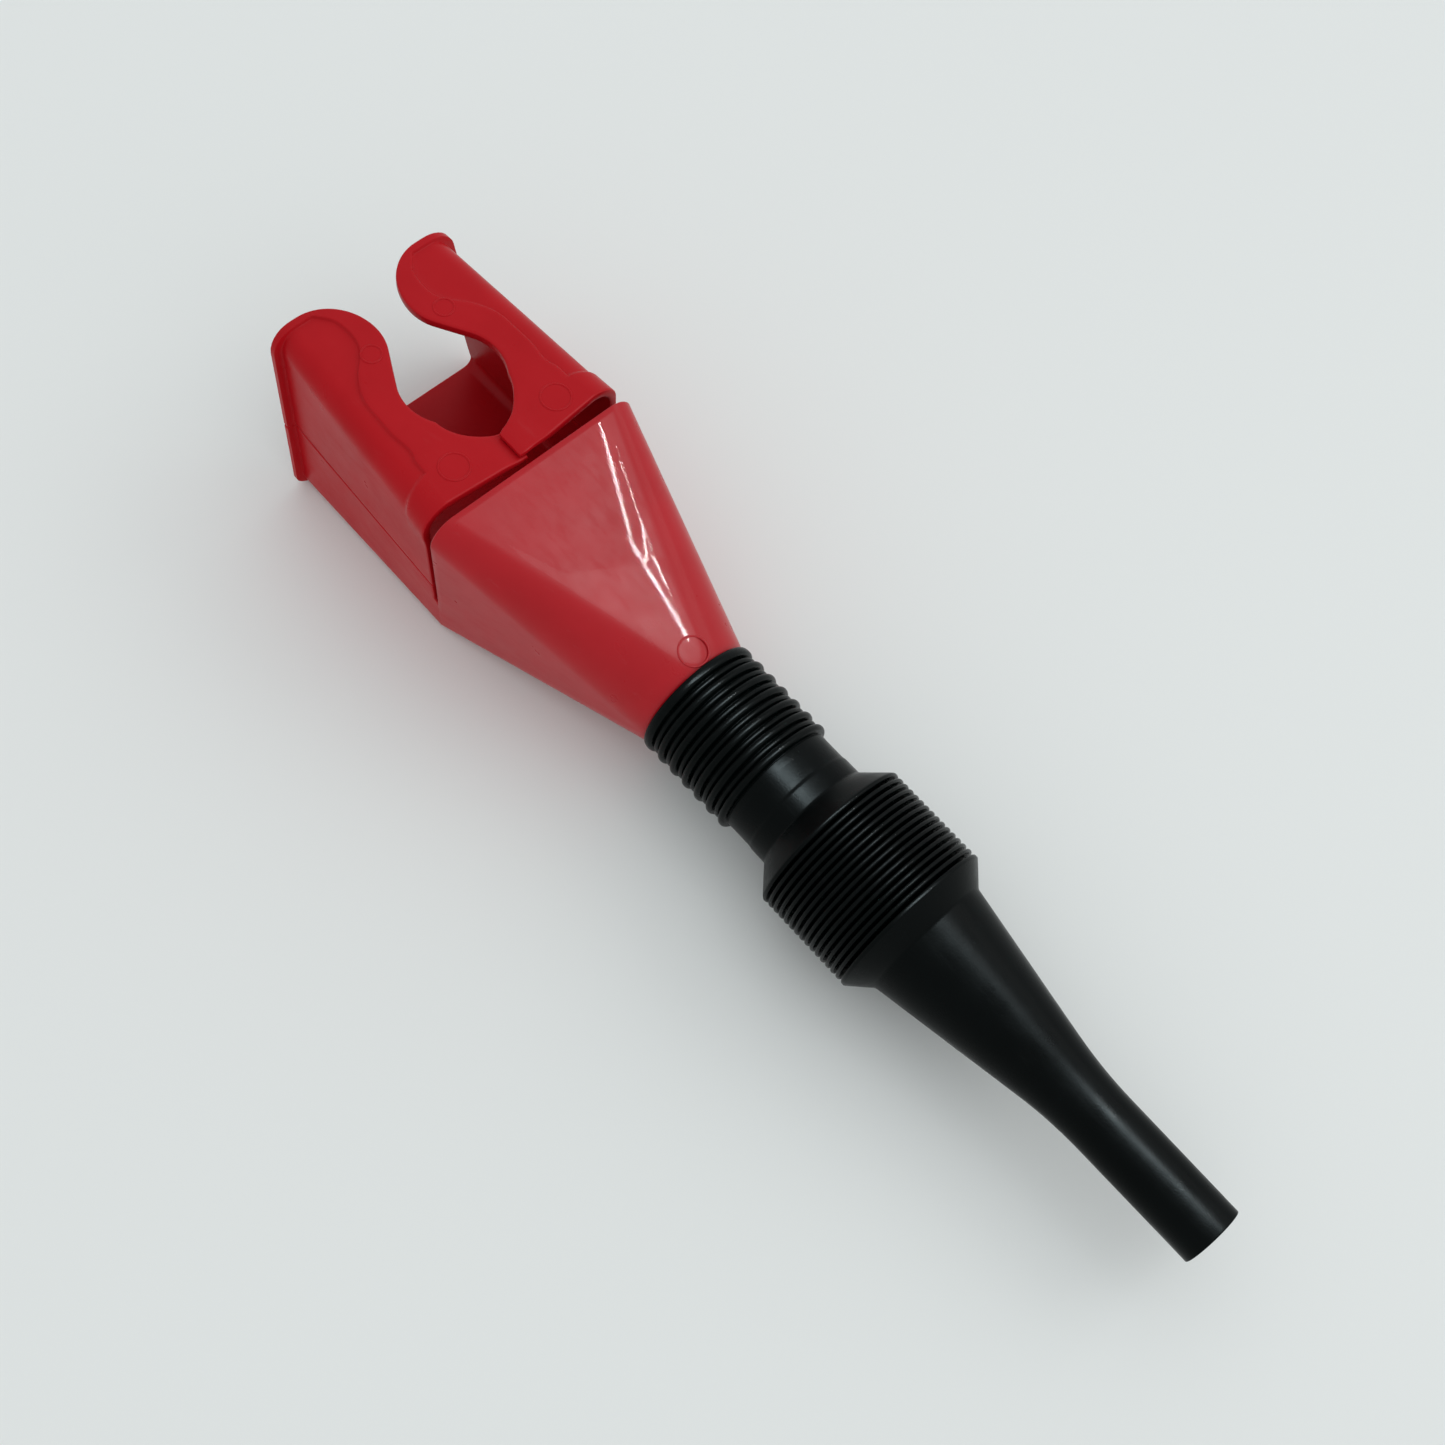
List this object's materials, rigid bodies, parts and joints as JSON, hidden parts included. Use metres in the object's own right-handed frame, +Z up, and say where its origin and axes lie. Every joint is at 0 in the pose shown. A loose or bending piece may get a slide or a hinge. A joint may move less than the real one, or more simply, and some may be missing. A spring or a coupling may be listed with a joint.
{
  "type": "funnel",
  "caption": "Hands-free pouring funnel with a folding bottle-neck clip, a tapered hopper and a bending, extending bellows spout.",
  "frame": {"origin": "under the middle of the part, on the surface that it lies on", "axes": "+X from the open clip end to the nozzle tip, +Z up through the jaws with their neck cut-out, +Y to the jaw whose tongue laps over the other"},
  "size_m": [0.34, 0.0716, 0.0608],
  "materials": {
    "red_moulding": "satin red injection-moulded polypropylene",
    "black_spout": "satin black blow-moulded polyethylene"
  },
  "bodies": {
    "head": {"clip_base": "red_moulding", "hopper": "red_moulding", "spout_collar": "black_spout"},
    "left_jaw": {"left_jaw": "red_moulding"},
    "right_jaw": {"right_jaw": "red_moulding"},
    "neck_ring_1": {"neck_ring_1": "black_spout"},
    "neck_ring_2": {"neck_ring_2": "black_spout"},
    "neck_ring_3": {"neck_ring_3": "black_spout"},
    "neck_ring_4": {"neck_ring_4": "black_spout"},
    "neck_ring_5": {"neck_ring_5": "black_spout"},
    "sleeve": {"sleeve": "black_spout"},
    "pleat_1": {"pleat_1": "black_spout"},
    "pleat_2": {"pleat_2": "black_spout"},
    "pleat_3": {"pleat_3": "black_spout"},
    "pleat_4": {"pleat_4": "black_spout"},
    "pleat_5": {"pleat_5": "black_spout"},
    "pleat_6": {"pleat_6": "black_spout"},
    "pleat_7": {"pleat_7": "black_spout"},
    "pleat_8": {"pleat_8": "black_spout"},
    "pleat_9": {"pleat_9": "black_spout"},
    "pleat_10": {"pleat_10": "black_spout"},
    "pleat_11": {"pleat_11": "black_spout"},
    "pleat_12": {"pleat_12": "black_spout"},
    "pleat_13": {"pleat_13": "black_spout"},
    "pleat_14": {"pleat_14": "black_spout"},
    "nozzle": {"nozzle": "black_spout"}
  },
  "joints": [
    {"name": "right_jaw_fold", "type": "hinge", "parent": "head", "child": "right_jaw", "pos_m": [-0.13248, 0.03179, 0.0255], "axis": [-0.9991, -0.0418, 0], "range_deg": [0, 22], "stiffness_Nm_per_rad": 0.3},
    {"name": "left_jaw_fold", "type": "hinge", "parent": "head", "child": "left_jaw", "pos_m": [-0.13248, -0.03179, 0.0255], "axis": [0.9991, -0.0418, 0], "range_deg": [0, 22], "stiffness_Nm_per_rad": 0.3},
    {"name": "neck_side_bend_1", "type": "hinge", "parent": "head", "child": "neck_ring_1", "pos_m": [-0.01565, 0, 0.0246], "axis": [0, 0, 1], "range_deg": [-8.25, 8.25]},
    {"name": "neck_up_bend_1", "type": "hinge", "parent": "neck_ring_1", "child": "neck_ring_2", "pos_m": [-0.01077, 0, 0.0246], "axis": [0, -1, 0], "range_deg": [-8.25, 8.25]},
    {"name": "neck_side_bend_2", "type": "hinge", "parent": "neck_ring_2", "child": "neck_ring_3", "pos_m": [-0.0059, 0, 0.0246], "axis": [0, 0, 1], "range_deg": [-8.25, 8.25]},
    {"name": "neck_up_bend_2", "type": "hinge", "parent": "neck_ring_3", "child": "neck_ring_4", "pos_m": [-0.00102, 0, 0.0246], "axis": [0, -1, 0], "range_deg": [-8.25, 8.25]},
    {"name": "neck_side_bend_3", "type": "hinge", "parent": "neck_ring_4", "child": "neck_ring_5", "pos_m": [0.00386, 0, 0.0246], "axis": [0, 0, 1], "range_deg": [-8.25, 8.25]},
    {"name": "neck_up_bend_3", "type": "hinge", "parent": "neck_ring_5", "child": "sleeve", "pos_m": [0.00874, 0, 0.0246], "axis": [0, -1, 0], "range_deg": [-8.25, 8.25]},
    {"name": "bellows_stretch_1", "type": "slide", "parent": "sleeve", "child": "pleat_1", "axis": [1, 0, 0], "range_m": [0, 0.004]},
    {"name": "bellows_stretch_2", "type": "slide", "parent": "pleat_1", "child": "pleat_2", "axis": [1, 0, 0], "range_m": [0, 0.004]},
    {"name": "bellows_stretch_3", "type": "slide", "parent": "pleat_2", "child": "pleat_3", "axis": [1, 0, 0], "range_m": [0, 0.004]},
    {"name": "bellows_stretch_4", "type": "slide", "parent": "pleat_3", "child": "pleat_4", "axis": [1, 0, 0], "range_m": [0, 0.004]},
    {"name": "bellows_stretch_5", "type": "slide", "parent": "pleat_4", "child": "pleat_5", "axis": [1, 0, 0], "range_m": [0, 0.004]},
    {"name": "bellows_stretch_6", "type": "slide", "parent": "pleat_5", "child": "pleat_6", "axis": [1, 0, 0], "range_m": [0, 0.004]},
    {"name": "bellows_stretch_7", "type": "slide", "parent": "pleat_6", "child": "pleat_7", "axis": [1, 0, 0], "range_m": [0, 0.004]},
    {"name": "bellows_stretch_8", "type": "slide", "parent": "pleat_7", "child": "pleat_8", "axis": [1, 0, 0], "range_m": [0, 0.004]},
    {"name": "bellows_stretch_9", "type": "slide", "parent": "pleat_8", "child": "pleat_9", "axis": [1, 0, 0], "range_m": [0, 0.004]},
    {"name": "bellows_stretch_10", "type": "slide", "parent": "pleat_9", "child": "pleat_10", "axis": [1, 0, 0], "range_m": [0, 0.004]},
    {"name": "bellows_stretch_11", "type": "slide", "parent": "pleat_10", "child": "pleat_11", "axis": [1, 0, 0], "range_m": [0, 0.004]},
    {"name": "bellows_stretch_12", "type": "slide", "parent": "pleat_11", "child": "pleat_12", "axis": [1, 0, 0], "range_m": [0, 0.004]},
    {"name": "bellows_stretch_13", "type": "slide", "parent": "pleat_12", "child": "pleat_13", "axis": [1, 0, 0], "range_m": [0, 0.004]},
    {"name": "bellows_stretch_14", "type": "slide", "parent": "pleat_13", "child": "pleat_14", "axis": [1, 0, 0], "range_m": [0, 0.004]},
    {"name": "bellows_stretch_15", "type": "slide", "parent": "pleat_14", "child": "nozzle", "axis": [1, 0, 0], "range_m": [0, 0.004]}
  ],
  "couplings": [
    {"joint": "left_jaw_fold", "follows": "right_jaw_fold", "ratio": 1},
    {"joint": "neck_side_bend_2", "follows": "neck_side_bend_1", "ratio": 1},
    {"joint": "neck_up_bend_2", "follows": "neck_up_bend_1", "ratio": 1},
    {"joint": "neck_side_bend_3", "follows": "neck_side_bend_1", "ratio": 1},
    {"joint": "neck_up_bend_3", "follows": "neck_up_bend_1", "ratio": 1},
    {"joint": "bellows_stretch_2", "follows": "bellows_stretch_1", "ratio": 1},
    {"joint": "bellows_stretch_3", "follows": "bellows_stretch_1", "ratio": 1},
    {"joint": "bellows_stretch_4", "follows": "bellows_stretch_1", "ratio": 1},
    {"joint": "bellows_stretch_5", "follows": "bellows_stretch_1", "ratio": 1},
    {"joint": "bellows_stretch_6", "follows": "bellows_stretch_1", "ratio": 1},
    {"joint": "bellows_stretch_7", "follows": "bellows_stretch_1", "ratio": 1},
    {"joint": "bellows_stretch_8", "follows": "bellows_stretch_1", "ratio": 1},
    {"joint": "bellows_stretch_9", "follows": "bellows_stretch_1", "ratio": 1},
    {"joint": "bellows_stretch_10", "follows": "bellows_stretch_1", "ratio": 1},
    {"joint": "bellows_stretch_11", "follows": "bellows_stretch_1", "ratio": 1},
    {"joint": "bellows_stretch_12", "follows": "bellows_stretch_1", "ratio": 1},
    {"joint": "bellows_stretch_13", "follows": "bellows_stretch_1", "ratio": 1},
    {"joint": "bellows_stretch_14", "follows": "bellows_stretch_1", "ratio": 1},
    {"joint": "bellows_stretch_15", "follows": "bellows_stretch_1", "ratio": 1}
  ]
}
